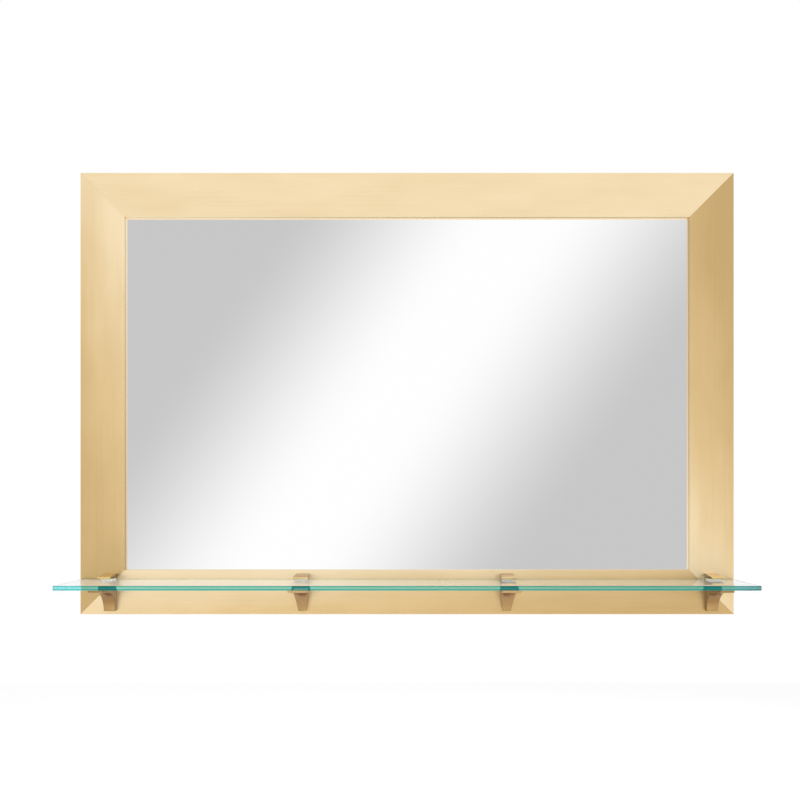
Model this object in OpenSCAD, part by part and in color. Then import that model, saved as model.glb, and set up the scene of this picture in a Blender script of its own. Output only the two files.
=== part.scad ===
// Wall mirror in a flat mitred metal-faced frame, with a glass shelf held in four clamp brackets.
// Millimetres. X runs to the viewer's right, the front faces -Y, the frame's back is at Y = 0, Z is up.
// The origin lies on the frame's back, midway between the entry holes of the two keyhole plates.

/* [Frame] */
// Overall width of the frame
frame_w = 939.8; // [700:0.1:1300]
// Overall height of the frame
frame_h = 635; // [450:0.5:1000]
// Width of each rail and stile, seen from the front
rail_w = 63.5; // [60:0.5:80]
// Thickness of the frame, front face to back face
frame_t = 20; // [19:0.5:28]
// Thickness of the folded metal skin
skin_t = 0.8; // [0.5:0.1:1.2]
// Outside radius of the skin's two long bends
bend_r = 1.4; // [1.3:0.1:2.5]
// Hairline left between two skins at a mitre
mitre_gap = 0.2; // [0.1:0.05:0.5]

/* [Mirror and backing] */
// Depth of the frame's lip in front of the mirror
lip_d = 8; // [6:0.5:8]
// Width of the rabbet that takes the mirror's edge
rabbet_w = 8; // [6:0.5:9]
// Gap between the mirror's edge and the rabbet
mirror_gap = 1; // [0.5:0.1:2]
// Thickness of the mirror glass
mirror_t = 4; // [3:0.5:5]
// Thickness of the backing board
board_t = 3; // [2:0.5:4]

/* [Glass shelf] */
// Front-to-back depth of the shelf
shelf_d = 127; // [100:1:160]
// Thickness of the shelf glass
shelf_t = 6.35; // [5:0.05:8]
// Underside of the shelf above the frame's bottom edge
shelf_z = 44.05; // [42:0.05:46]
// How far each end of the shelf stops short of the frame's side
shelf_end_inset = 0; // [0:1:20]
// Radius of the shelf's two front corners
shelf_corner_r = 3; // [1:0.5:12]
// Gap between the shelf's back edge and the bracket spines
shelf_back_gap = 0.5; // [0.4:0.1:2]

/* [Bracket places] */
// Left end bracket's middle, from the frame's left side
left_end_inset = 44; // [30:1:70]
// Left inner bracket's middle, left of the frame's middle
left_inner_offset = 150; // [110:1:210]
// Right inner bracket's middle, right of the frame's middle
right_inner_offset = 143; // [110:1:210]
// Right end bracket's middle, from the frame's right side
right_end_inset = 33; // [30:1:70]

/* [Brackets] */
// Width of a bracket where it meets the frame
bracket_w = 17.7; // [17:0.1:22]
// Thickness of the spine behind the shelf
spine_t = 2.5; // [2.5:0.1:4]
// Reach of the upper jaw from the frame
jaw_reach = 39; // [32:1:50]
// Thickness of the upper jaw at its root
jaw_root_t = 6.3; // [5:0.1:9]
// Thickness of the upper jaw at its tip
jaw_tip_t = 2.5; // [2:0.1:3.5]
// Rise of the upper jaw's underside at the tip, above its pad seat
jaw_lift = 0.9; // [0.5:0.1:1.4]
// Reach of the flat seat under the upper jaw
jaw_seat_reach = 27; // [24:1:30]
// Reach of the lower jaw's tongue from the frame
tongue_reach = 85; // [70:1:110]
// Thickness of the tongue at its tip
tongue_tip_t = 5.2; // [4:0.1:7]
// Thickness of the tongue where the arm's curve ends
tongue_root_t = 9; // [8:0.1:12]
// Width of the tongue's tip on an end bracket
end_tip_w = 19; // [18:0.1:24]
// Width of the tongue's tip on an inner bracket
inner_tip_w = 26.4; // [20:0.1:30]
// Height of the foot above the frame's bottom edge
foot_z = 5.2; // [3:0.1:6]
// How far the foot stands out from the frame
foot_d = 9; // [8.6:0.1:11]
// Height of the foot's solid block, up to the spine
foot_h = 10.3; // [9.5:0.1:10.5]
// Width of the foot on an end bracket
end_foot_w = 16; // [12:0.1:17]
// Width of the foot on an inner bracket
inner_foot_w = 11.4; // [10:0.1:16]
// Reach of the arm's curve, from the foot to the tongue
curve_reach = 36; // [30:1:42]
// Width of the lug inside the arm
lug_w = 6.4; // [6:0.1:7.2]
// Reach of the lug from the frame
lug_d = 8; // [7.6:0.1:8.2]
// Height of the lug
lug_h = 19; // [18.5:0.1:19.2]
// Travel of the lower jaw when the clamp screw is let out
clamp_travel = 6; // [4:0.5:6]

/* [Pads and bumpers] */
// Thickness of the silicone pad under an upper jaw
upper_pad_t = 2; // [1:0.1:3]
// Front-to-back length of the pad under an upper jaw
upper_pad_l = 20; // [12:1:22]
// How far an upper pad stops short of the jaw's sides
upper_pad_inset = 0.6; // [0.4:0.1:3]
// Thickness of the silicone strip on a tongue
lower_pad_t = 1; // [0.6:0.1:1.5]
// Front-to-back length of the strip on a tongue
lower_pad_l = 64; // [30:1:66]
// Width of the strip on a tongue
lower_pad_w = 13.7; // [8:0.1:16]
// How far a strip stops short of the tongue's tip
lower_pad_setback = 8; // [3:0.5:12]
// Gap between a pad and the glass
pad_gap = 0.1; // [0.05:0.05:0.3]
// Thickness of the wall bumpers
bumper_t = 3; // [2.8:0.1:5]
// Radius of the wall bumpers
bumper_r = 6.35; // [5:0.05:9]

/* [Hanging plates] */
// Distance between the two keyholes
keyhole_pitch = 406.4; // [300:0.1:500]
// Radius of a keyhole's entry
keyhole_r = 4.5; // [4:0.1:5]
// Width of a keyhole's slot
keyhole_slot_w = 4.6; // [4:0.1:5]
// Height from a keyhole's entry to its seat
keyhole_lift = 10; // [8:0.5:12]
// Width of a keyhole plate
plate_w = 18; // [16:0.5:22]
// Height of a keyhole plate
plate_h = 44; // [42:0.5:46]
// Thickness of the keyhole plates and the corner plates
plate_t = 1.5; // [1:0.1:2]

/* [Hidden] */
// Clearances: round a shaft or screw, between sliding faces, and round a sunk plate
fit = 0.05;
slide_gap = 0.3;
seat_gap = 0.2;

// How far a cut runs past the faces it goes through, and how far two joined turned lengths overlap
over = 1;
weld = 0.01;

// Levels and faces of the frame
rail_mid = rail_w / 2;
frame_top = rail_mid;
frame_bottom = frame_top - frame_h;
frame_mid_z = (frame_top + frame_bottom) / 2;
back_y = 0;
front_y = back_y - frame_t;
sight_w = frame_w - 2 * rail_w;
sight_h = frame_h - 2 * rail_w;
core_in = rail_w - rabbet_w;
board_back = lip_d + mirror_t + board_t;

// Bracket levels, measured up from the frame's bottom edge
shelf_top = shelf_z + shelf_t;
jaw_under = shelf_top + pad_gap + upper_pad_t;
jaw_top = jaw_under + jaw_root_t;
tongue_top = shelf_z - pad_gap - lower_pad_t;
arm_top = tongue_top - tongue_root_t;
lug_z = foot_z + foot_h + slide_gap;
lug_top = lug_z + lug_h;
shelf_back = spine_t + shelf_back_gap;
shelf_w = frame_w - 2 * shelf_end_inset;

// Clamp screw, in the jaw's foot and the lug
clamp_screw_d = 5;
clamp_thread_r = 1.5;
clamp_shank_r = clamp_thread_r - fit;
clamp_head_r = 2.75;
clamp_head_h = 3;
clamp_recess = 0.8;
clamp_seat = foot_z + clamp_recess + clamp_head_h;
clamp_thread_l = 10.5;
clamp_tip_gap = 0.5;
clamp_hole_gap = 0.2;
clamp_head_gap = 0.15;
hex_r = 1.45;
hex_deep = 1.6;

// Machine screw from behind the rail into the lug
fixing_r = 2;
fixing_drop = 3.8;
fixing_z = lug_top - fixing_drop;
fixing_bite = 7;
fixing_bore_gap = 1;
fixing_hole_gap = 0.25;
fixing_head_r = 3.5;
fixing_head_h = 2.6;
fixing_sink = 4;
washer_r = 4.5;
washer_t = 0.8;
washer_hole_gap = 0.2;
washer_sink_gap = 0.5;

// Wood screws
wood_r = 1.6;
wood_head_r = 3.2;
wood_head_h = 1.5;
wood_l = 14;
wood_tip_l = 3;
wood_tip_r = 0.3;
wood_hole_gap = 1;
cross_w = 0.8;
spine_screw_z = shelf_z + shelf_t / 2;

// Corner plates on the back of the frame
corner_leg = 60;
corner_leg_w = 14;
corner_inset = 7;
corner_holes = [22, 48];

// Retainer clips round the backing board
clip_w = 14;
clip_t = 1;
clip_foot = 13;
clip_toe = 10;
clip_head_r = 3;
clip_head_h = 1.6;
clip_hole_gap = 0.2;
clip_side_x = 270;
clip_side_z = 130;

bumper_in = 95;
bumper_edge = 18;
keyhole_pocket_r = 6;
keyhole_pocket_d = 8;
keyhole_screw_in = 5;
plate_corner_r = 3;
plate_drop = 2;
plate_low = (keyhole_lift - plate_h) / 2 - plate_drop;
upper_pad_back = 1;
curve_steps = 24;
$fn = 48;

gold = [0.86, 0.74, 0.53];
satin_brass = [0.72, 0.57, 0.36];
glass_green = [0.55, 0.80, 0.74, 0.5];

sides = ["top", "bottom", "left", "right"];
brackets = ["left_end", "left_inner", "right_inner", "right_end"];
bracket_x = [
    left_end_inset - frame_w / 2,
    -left_inner_offset,
    right_inner_offset,
    frame_w / 2 - right_end_inset
];
corners = ["top_left", "top_right", "bottom_left", "bottom_right"];
corner_signs = [[-1, 1], [1, 1], [-1, -1], [1, -1]];
rail_names = ["top_rail", "bottom_rail", "left_stile", "right_stile"];

// --- Small helpers -----------------------------------------------------------------------------

// Extrudes an XZ outline from one Y to another
module along_y(from_y, to_y) {
    translate([0, to_y, 0]) rotate([90, 0, 0]) linear_extrude(to_y - from_y) children();
}

// Extrudes a side outline, drawn as distance out from the frame and height, to a width across X
module side_slab(w) {
    mirror([0, 1, 0]) rotate([90, 0, 90]) linear_extrude(w, center = true) children();
}

// A cylinder along Y between two Y values
module pin_y(r, from_y, to_y) {
    translate([0, to_y, 0]) rotate([90, 0, 0]) cylinder(r = r, h = to_y - from_y);
}

// A box given by its lowest and highest corners
module block(lo, hi) {
    translate(lo) cube([hi[0] - lo[0], hi[1] - lo[1], hi[2] - lo[2]]);
}

// A rectangle with round corners, lowest corner at the origin
module rounded_plate(w, h, r) {
    translate([r, 0]) square([w - 2 * r, h]);
    translate([0, r]) square([w, h - 2 * r]);
    for (x = [r, w - r], y = [r, h - r]) translate([x, y]) circle(r);
}

// A countersunk wood screw with its face at Y = 0, pointing towards -Y
module wood_screw() {
    difference() {
        union() {
            rotate([90, 0, 0]) cylinder(r1 = wood_head_r, r2 = wood_r, h = wood_head_h);
            pin_y(wood_r, wood_tip_l - wood_l, weld - wood_head_h);
            translate([0, wood_tip_l - wood_l, 0]) rotate([90, 0, 0]) {
                cylinder(r1 = wood_r, r2 = wood_tip_r, h = wood_tip_l);
            }
        }
        screw_cross(0, 1.1, 1.9);
    }
}

// The hole that a wood screw sits in, a little larger all round
module wood_screw_hole() {
    rotate([90, 0, 0]) cylinder(r1 = wood_head_r + fit, r2 = wood_r + fit, h = wood_head_h + fit);
    pin_y(wood_r + fit, -wood_l - wood_hole_gap, over);
    pin_y(wood_head_r + fit, 0, over);
}

// The cross recess in a screw head whose face is at the given Y
module screw_cross(face_y, deep, reach) {
    for (turn = [0, 90]) rotate([0, turn, 0]) {
        block([-reach, face_y - deep, -cross_w / 2], [reach, face_y + over, cross_w / 2]);
    }
}

// --- Frame -------------------------------------------------------------------------------------

// Section of a rail set in by some amount: depth from the front face, then distance from the outer edge
module rail_section(inset) {
    r = bend_r - inset;
    translate([inset + r, inset]) square([frame_t - inset - r, rail_w - 2 * inset]);
    translate([inset, inset + r]) square([2 * r, rail_w - 2 * inset - 2 * r]);
    for (u = [inset + r, rail_w - inset - r]) translate([inset + r, u]) circle(r);
}

module core_section() {
    difference() {
        rail_section(skin_t);
        translate([lip_d, core_in]) square([frame_t, rail_w]);
    }
}

module skin_section() {
    difference() {
        rail_section(0);
        core_blank();
        translate([lip_d, rail_mid]) square([frame_t, rail_w]);
    }
}

// What the skin is folded round, run out past the back of the frame
module core_blank() {
    rail_section(skin_t);
    translate([frame_t / 2, skin_t]) square([frame_t, rail_w - 2 * skin_t]);
}

// A rail along X with its outer edge at Z = 0 and its front face at Y = 0, mitred at both ends
module mitred(length, gap) {
    half = length / 2 - gap / sqrt(2) + over;
    tall = rail_w + 2 * over;
    intersection() {
        rotate([90, 0, 90]) linear_extrude(length, center = true) children();
        along_y(-over, frame_t + over) polygon([
            [-half, -over], [half, -over], [half - tall, tall - over], [tall - half, tall - over]
        ]);
    }
}

// Puts a rail on its side of the frame
module on_side(side) {
    if (side == "top") translate([0, front_y, frame_top]) mirror([0, 0, 1]) children();
    if (side == "bottom") translate([0, front_y, frame_bottom]) children();
    if (side == "left") translate([-frame_w / 2, front_y, frame_mid_z]) rotate([0, 90, 0]) children();
    if (side == "right") translate([frame_w / 2, front_y, frame_mid_z]) rotate([0, -90, 0]) children();
}

function rail_length(side) = side == "top" || side == "bottom" ? frame_w : frame_h;

module rail_core(side) {
    color("peru") difference() {
        on_side(side) mitred(rail_length(side), 0) core_section();
        corner_recesses(side);
        if (side == "top") keyhole_recesses();
        if (side != "top") bracket_drillings();
        at_clips(side) pin_y(wood_r + fit, back_y - wood_l, back_y + over);
    }
}

module rail_skin(side) {
    color(gold) difference() {
        on_side(side) mitred(rail_length(side), mitre_gap / 2) skin_section();
        if (side != "top") bracket_drillings();
    }
}

// Holes through the bottom rail, and through a stile where an end bracket crosses the mitre
module bracket_drillings() {
    for (x = bracket_x) translate([x, 0, frame_bottom]) {
        translate([0, 0, fixing_z]) {
            pin_y(fixing_r + fixing_hole_gap, front_y - over, back_y + over);
            pin_y(washer_r + washer_sink_gap, back_y - fixing_sink, back_y + over);
        }
        translate([0, 0, spine_screw_z]) {
            pin_y(wood_r + fit, front_y - over, front_y - spine_t + wood_l + wood_hole_gap);
        }
    }
}

// --- Corner plates -----------------------------------------------------------------------------

// Outline of an L plate whose outer corner is at the origin, with its legs along +X and +Y
module corner_outline(grow) {
    w = corner_leg_w + 2 * grow;
    translate([-grow, -grow]) {
        square([corner_leg + 2 * grow - w / 2, w]);
        square([w, corner_leg + 2 * grow - w / 2]);
        translate([corner_leg + 2 * grow - w / 2, w / 2]) circle(w / 2);
        translate([w / 2, corner_leg + 2 * grow - w / 2]) circle(w / 2);
    }
}

// Puts an L plate's corner near a corner of the frame, legs pointing inwards
module at_corner(signs) {
    translate([
        signs[0] * (frame_w / 2 - corner_inset), 0,
        frame_mid_z + signs[1] * (frame_h / 2 - corner_inset)
    ]) mirror([signs[0] > 0 ? 1 : 0, 0, 0]) mirror([0, 0, signs[1] > 0 ? 1 : 0]) children();
}

module at_corner_holes() {
    for (s = corner_holes) {
        translate([s, back_y, corner_leg_w / 2]) children();
        translate([corner_leg_w / 2, back_y, s]) children();
    }
}

module corner_plate(signs) {
    color("silver") at_corner(signs) difference() {
        along_y(back_y - plate_t, back_y) corner_outline(0);
        at_corner_holes() wood_screw_hole();
    }
}

module corner_recesses(side) {
    for (signs = corner_signs) {
        if (touches(side, signs)) at_corner(signs) {
            along_y(back_y - plate_t, back_y + over) corner_outline(seat_gap);
            at_corner_holes() wood_screw_hole();
        }
    }
}

function touches(side, signs) =
    (side == "top" && signs[1] > 0) || (side == "bottom" && signs[1] < 0) ||
    (side == "left" && signs[0] < 0) || (side == "right" && signs[0] > 0);

module corner_plate_screws() {
    color("silver") for (signs = corner_signs) at_corner(signs) at_corner_holes() wood_screw();
}

// --- Keyhole plates ----------------------------------------------------------------------------

module at_keyhole(side) {
    translate([side * keyhole_pitch / 2, 0, 0]) children();
}

module at_keyhole_screws() {
    for (z = [plate_low + keyhole_screw_in, plate_low + plate_h - keyhole_screw_in]) {
        translate([0, back_y, z]) children();
    }
}

// A round-ended slot that stands up from the origin
module upright_slot(r, rise) {
    circle(r);
    translate([0, rise]) circle(r);
    translate([-r, 0]) square([2 * r, rise]);
}

module keyhole_plate(side) {
    color("silver") at_keyhole(side) difference() {
        along_y(back_y - plate_t, back_y) translate([-plate_w / 2, plate_low]) {
            rounded_plate(plate_w, plate_h, plate_corner_r);
        }
        pin_y(keyhole_r, back_y - plate_t - over, back_y + over);
        along_y(back_y - plate_t - over, back_y + over) upright_slot(keyhole_slot_w / 2, keyhole_lift);
        at_keyhole_screws() wood_screw_hole();
    }
}

module keyhole_recesses() {
    for (side = [-1, 1]) at_keyhole(side) {
        along_y(back_y - plate_t, back_y + over) translate([-plate_w / 2 - seat_gap, plate_low - seat_gap]) {
            rounded_plate(plate_w + 2 * seat_gap, plate_h + 2 * seat_gap, plate_corner_r + seat_gap);
        }
        along_y(back_y - plate_t - keyhole_pocket_d, back_y) upright_slot(keyhole_pocket_r, keyhole_lift);
        at_keyhole_screws() wood_screw_hole();
    }
}

module keyhole_plate_screws() {
    color("silver") for (side = [-1, 1]) at_keyhole(side) at_keyhole_screws() wood_screw();
}

// --- Mirror, backing and what holds them -------------------------------------------------------

// A sheet in the rabbet between two depths from the front face
module rabbet_sheet(from_d, to_d) {
    w = sight_w + 2 * (rabbet_w - mirror_gap);
    h = sight_h + 2 * (rabbet_w - mirror_gap);
    translate([-w / 2, front_y + from_d, frame_mid_z - h / 2]) cube([w, to_d - from_d, h]);
}

module mirror_glass() {
    color("lightgray") rabbet_sheet(lip_d, lip_d + mirror_t);
}

module backing_board() {
    color("tan") rabbet_sheet(lip_d + mirror_t, board_back);
}

// Clip places on one side, at the rabbet's edge on the back face, with +Z pointing at the mirror
module at_clips(side) {
    spots = side == "top" || side == "bottom" ? [-clip_side_x, 0, clip_side_x] : [-clip_side_z, clip_side_z];
    for (s = spots) on_side(side) {
        translate([s, -front_y, core_in - clip_foot / 2]) children();
    }
}

// A stepped clip: its foot on the frame's back, its toe on the board
module retainer_clip() {
    step = clip_foot / 2 + seat_gap;
    difference() {
        union() {
            block([-clip_w / 2, back_y, -clip_foot / 2], [clip_w / 2, back_y + clip_t, step + clip_t]);
            block([-clip_w / 2, front_y + board_back, step], [clip_w / 2, back_y + clip_t, step + clip_t]);
            block([-clip_w / 2, front_y + board_back, step],
                  [clip_w / 2, front_y + board_back + clip_t, step + clip_toe]);
        }
        pin_y(wood_r + clip_hole_gap, back_y - over, back_y + clip_t + over);
    }
}

module retainer_clips() {
    color("silver") for (side = sides) at_clips(side) retainer_clip();
}

// A round-headed wood screw, head on the clip
module clip_screw() {
    difference() {
        union() {
            pin_y(clip_head_r, back_y + clip_t, back_y + clip_t + clip_head_h);
            pin_y(wood_r, back_y + wood_tip_l - wood_l, back_y + clip_t);
        }
        screw_cross(back_y + clip_t + clip_head_h, 1, 1.8);
    }
}

module retainer_clip_screws() {
    color("silver") for (side = sides) at_clips(side) clip_screw();
}

module wall_bumpers() {
    color("gainsboro") for (x = [-1, 1], z = [frame_bottom + bumper_edge, frame_top - bumper_edge]) {
        translate([x * (frame_w / 2 - bumper_in), 0, z]) pin_y(bumper_r, back_y, back_y + bumper_t);
    }
}

// --- Glass shelf -------------------------------------------------------------------------------

module glass_shelf() {
    r = shelf_corner_r;
    color(glass_green) translate([-shelf_w / 2, front_y - shelf_back - shelf_d, frame_bottom + shelf_z]) {
        linear_extrude(shelf_t) {
            translate([0, r]) square([shelf_w, shelf_d - r]);
            translate([r, 0]) square([shelf_w - 2 * r, 2 * r]);
            for (x = [r, shelf_w - r]) translate([x, r]) circle(r);
        }
    }
}

// --- Brackets ----------------------------------------------------------------------------------

// Puts a bracket on the bottom rail: Y = 0 is the rail's face and Z = 0 the frame's bottom edge
module at_bracket(i) {
    translate([bracket_x[i], front_y, frame_bottom]) children();
}

function is_end(i) = i == 0 || i == len(brackets) - 1;
function tip_w(i) = is_end(i) ? end_tip_w : inner_tip_w;
function foot_w(i) = is_end(i) ? end_foot_w : inner_foot_w;
function half_w(i, d) = (bracket_w + (tip_w(i) - bracket_w) * d / tongue_reach) / 2;

// Plan and front outlines that every piece of a bracket keeps within
module bracket_envelope(i) {
    tip_z = tongue_top - tongue_tip_t;
    arm_half = half_w(i, foot_d + curve_reach);
    wide = tip_w(i) / 2 + over;
    intersection() {
        mirror([0, 1, 0]) linear_extrude(jaw_top + over) polygon([
            [-half_w(i, 0), 0], [half_w(i, 0), 0],
            [half_w(i, tongue_reach), tongue_reach], [-half_w(i, tongue_reach), tongue_reach]
        ]);
        along_y(-tongue_reach - over, over) polygon([
            [-foot_w(i) / 2, foot_z], [foot_w(i) / 2, foot_z], [arm_half, arm_top], [wide, tip_z],
            [wide, jaw_top + over], [-wide, jaw_top + over], [-wide, tip_z], [-arm_half, arm_top]
        ]);
    }
}

module upper_profile() {
    polygon([
        [0, lug_z], [spine_t, lug_z], [spine_t, jaw_under], [jaw_seat_reach, jaw_under],
        [jaw_reach, jaw_under + jaw_lift], [jaw_reach, jaw_under + jaw_lift + jaw_tip_t], [0, jaw_top]
    ]);
}

// Spine, upper jaw and the lug that the clamp screw draws on
module bracket_body(i) {
    color(satin_brass) at_bracket(i) difference() {
        union() {
            intersection() {
                side_slab(2 * tip_w(i)) upper_profile();
                bracket_envelope(i);
            }
            block([-lug_w / 2, -lug_d, lug_z], [lug_w / 2, -spine_t / 2, lug_top]);
        }
        translate([0, -clamp_screw_d, lug_z - over]) {
            cylinder(r = clamp_thread_r, h = clamp_thread_l + over);
        }
        translate([0, 0, fixing_z]) pin_y(fixing_r, -fixing_bite, over);
        translate([0, -spine_t, spine_screw_z]) mirror([0, 1, 0]) wood_screw_hole();
    }
}

// Underside of the arm: a quarter of an ellipse from the foot up to the tongue
function arm_curve() = [for (k = [0 : curve_steps])
    let (turn = 90 * k / curve_steps)
    [foot_d + curve_reach * (1 - cos(turn)), foot_z + (arm_top - foot_z) * sin(turn)]];

module lower_profile() {
    difference() {
        polygon(concat(
            [[slide_gap, foot_z]], arm_curve(),
            [[tongue_reach, tongue_top - tongue_tip_t], [tongue_reach, tongue_top], [slide_gap, tongue_top]]
        ));
        translate([-over, lug_z - slide_gap]) square([spine_t + slide_gap + over, tongue_top]);
    }
}

// Foot, curved arm and tongue in one piece, hollow behind for the lug
module lower_jaw(i) {
    color(satin_brass) at_bracket(i) difference() {
        intersection() {
            side_slab(2 * tip_w(i)) lower_profile();
            bracket_envelope(i);
        }
        block([-lug_w / 2 - slide_gap, -lug_d - slide_gap, lug_z - slide_gap],
              [lug_w / 2 + slide_gap, 0, lug_top + clamp_travel + slide_gap]);
        translate([0, -clamp_screw_d, 0]) {
            cylinder(r = clamp_thread_r + clamp_hole_gap, h = lug_z);
            cylinder(r = clamp_head_r + clamp_head_gap, h = clamp_seat);
        }
    }
}

module clamp_screw(i) {
    tip = lug_z + clamp_thread_l - clamp_tip_gap;
    color("silver") at_bracket(i) translate([0, -clamp_screw_d, 0]) difference() {
        union() {
            translate([0, 0, clamp_seat - clamp_head_h]) cylinder(r = clamp_head_r, h = clamp_head_h);
            translate([0, 0, clamp_seat - weld]) cylinder(r = clamp_shank_r, h = tip - clamp_seat + weld);
        }
        translate([0, 0, clamp_seat - clamp_head_h - over]) {
            cylinder(r = hex_r, h = hex_deep + over, $fn = 6);
        }
    }
}

module upper_pad(i) {
    color("whitesmoke") at_bracket(i) {
        half = bracket_w / 2 - upper_pad_inset;
        back = -shelf_back - upper_pad_back;
        block([-half, back - upper_pad_l, jaw_under - upper_pad_t], [half, back, jaw_under]);
    }
}

module lower_pad(i) {
    color("whitesmoke") at_bracket(i) {
        half = lower_pad_w / 2;
        front = lower_pad_setback - tongue_reach;
        block([-half, front, tongue_top], [half, front + lower_pad_l, tongue_top + lower_pad_t]);
    }
}

module at_fixings() {
    for (i = [0 : len(brackets) - 1]) at_bracket(i) translate([0, 0, fixing_z]) children();
}

module bracket_fixing_screws() {
    seat = frame_t - fixing_sink + washer_t;
    color("silver") at_fixings() difference() {
        union() {
            pin_y(fixing_head_r, seat, seat + fixing_head_h);
            pin_y(fixing_r - fit, fixing_bore_gap - fixing_bite, seat + weld);
        }
        screw_cross(seat + fixing_head_h, 1.4, 2.2);
    }
}

module bracket_fixing_washers() {
    seat = frame_t - fixing_sink;
    color("silver") at_fixings() difference() {
        pin_y(washer_r, seat, seat + washer_t);
        pin_y(fixing_r + washer_hole_gap, seat - over, seat + washer_t + over);
    }
}

module bracket_spine_screws() {
    color("silver") for (i = [0 : len(brackets) - 1]) {
        at_bracket(i) translate([0, -spine_t, spine_screw_z]) mirror([0, 1, 0]) wood_screw();
    }
}

// --- Nodes -------------------------------------------------------------------------------------

rail_core("top");  // top_rail_core
rail_core("bottom");  // bottom_rail_core
rail_core("left");  // left_stile_core
rail_core("right");  // right_stile_core
rail_skin("top");  // top_rail_skin
rail_skin("bottom");  // bottom_rail_skin
rail_skin("left");  // left_stile_skin
rail_skin("right");  // right_stile_skin
for (c = [0 : len(corners) - 1]) {
    corner_plate(corner_signs[c]);
}
corner_plate_screws();
keyhole_plate(-1);  // left_keyhole_plate
keyhole_plate(1);  // right_keyhole_plate
keyhole_plate_screws();
mirror_glass();
backing_board();
retainer_clips();
retainer_clip_screws();
wall_bumpers();
glass_shelf();
for (i = [0 : len(brackets) - 1]) {
    bracket_body(i);
    lower_jaw(i);
    clamp_screw(i);
    upper_pad(i);
    lower_pad(i);
}
bracket_fixing_screws();
bracket_fixing_washers();
bracket_spine_screws();
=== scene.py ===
import math

import bmesh
import bpy
from mathutils import Matrix, Vector


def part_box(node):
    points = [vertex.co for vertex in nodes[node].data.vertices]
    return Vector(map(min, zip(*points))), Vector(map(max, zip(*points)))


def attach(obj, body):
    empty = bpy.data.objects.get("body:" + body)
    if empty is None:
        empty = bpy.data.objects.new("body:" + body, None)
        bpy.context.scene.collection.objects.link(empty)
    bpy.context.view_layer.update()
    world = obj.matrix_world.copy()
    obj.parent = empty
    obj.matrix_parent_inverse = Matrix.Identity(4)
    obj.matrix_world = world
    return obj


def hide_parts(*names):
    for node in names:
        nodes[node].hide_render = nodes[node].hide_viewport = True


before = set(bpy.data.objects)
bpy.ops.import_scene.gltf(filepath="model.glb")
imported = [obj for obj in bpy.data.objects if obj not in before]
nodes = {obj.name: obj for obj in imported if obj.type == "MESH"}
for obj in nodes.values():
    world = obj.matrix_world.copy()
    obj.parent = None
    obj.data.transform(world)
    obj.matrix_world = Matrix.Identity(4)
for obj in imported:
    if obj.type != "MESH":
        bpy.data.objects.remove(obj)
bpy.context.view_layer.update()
scene = bpy.context.scene
print("frame loaded,", len(nodes), "nodes")

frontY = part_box("top_rail_skin")[0].y
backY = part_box("top_rail_core")[1].y
frameLow = Vector((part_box("left_stile_skin")[0].x, frontY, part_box("bottom_rail_skin")[0].z))
frameHigh = Vector((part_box("right_stile_skin")[1].x, backY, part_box("top_rail_skin")[1].z))
frameMidZ = (frameLow.z + frameHigh.z) / 2
shelfLow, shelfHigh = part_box("glass_shelf")
brackets = ["left_end", "left_inner", "right_inner", "right_end"]


# helpers for node trees

def feed(tree, node, inputs):
    # a socket is linked, anything else becomes the input's own value
    for key, value in inputs.items():
        socket = node.inputs[key]
        if isinstance(value, bpy.types.NodeSocket):
            tree.links.new(value, socket)
        else:
            socket.default_value = value
    return node


def addNode(tree, kind, inputs=None, **settings):
    node = tree.nodes.new(kind)
    for key, value in settings.items():
        setattr(node, key, value)
    return feed(tree, node, inputs or {})


def colour(code):
    channels = [int(code[i:i + 2], 16) / 255 for i in (0, 2, 4)]
    return [c / 12.92 if c <= 0.04045 else ((c + 0.055) / 1.055) ** 2.4 for c in channels] + [1]


def newMaterial(name):
    material = bpy.data.materials.new(name)
    material.use_nodes = True
    tree = material.node_tree
    tree.nodes.clear()
    shader = addNode(tree, "ShaderNodeBsdfPrincipled")
    output = addNode(tree, "ShaderNodeOutputMaterial", {"Surface": shader.outputs[0]})
    return material, tree, shader, output


def noise(tree, vector, scale, detail=2.0, roughness=0.5):
    return addNode(tree, "ShaderNodeTexNoise", {
        "Vector": vector, "Scale": scale, "Detail": detail, "Roughness": roughness,
    }).outputs["Fac"]


def mapRange(tree, value, fromLow, fromHigh, toLow=0.0, toHigh=1.0, blend="LINEAR"):
    return addNode(tree, "ShaderNodeMapRange", {
        "Value": value, "From Min": fromLow, "From Max": fromHigh, "To Min": toLow, "To Max": toHigh,
    }, interpolation_type=blend).outputs["Result"]


noiseSpan, noiseCore = (0.3, 0.7), (0.35, 0.65)  # noise mostly stays within the first


def swing(tree, value, reach):
    # a noise turned into a shift of up to reach either way
    return mapRange(tree, value, *noiseSpan, -reach, reach)


def ramp(tree, value, stops):
    node = addNode(tree, "ShaderNodeValToRGB", {0: value})
    while len(node.color_ramp.elements) < len(stops):
        node.color_ramp.elements.new(0.5)
    for element, (place, code) in zip(node.color_ramp.elements, stops):
        element.position, element.color = place, colour(code)
    return node.outputs[0]


def math2(tree, operation, a, b, clamp=False):
    return addNode(tree, "ShaderNodeMath", {0: a, 1: b}, operation=operation, use_clamp=clamp).outputs[0]


def plus(tree, a, b, clamp=False):
    return math2(tree, "ADD", a, b, clamp)


def times(tree, a, b):
    return math2(tree, "MULTIPLY", a, b)


def absolute(tree, value):
    return math2(tree, "ABSOLUTE", value, 0.0)


def mixFloat(tree, factor, a, b):
    return addNode(tree, "ShaderNodeMix", {0: factor, 2: a, 3: b}, data_type="FLOAT").outputs[0]


def mixColour(tree, factor, a, b, blend="MIX"):
    # a and b are sockets, colours or colour codes
    a, b = (colour(value) if isinstance(value, str) else value for value in (a, b))
    return addNode(tree, "ShaderNodeMix", {0: factor, 6: a, 7: b}, data_type="RGBA", blend_type=blend).outputs[2]


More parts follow.
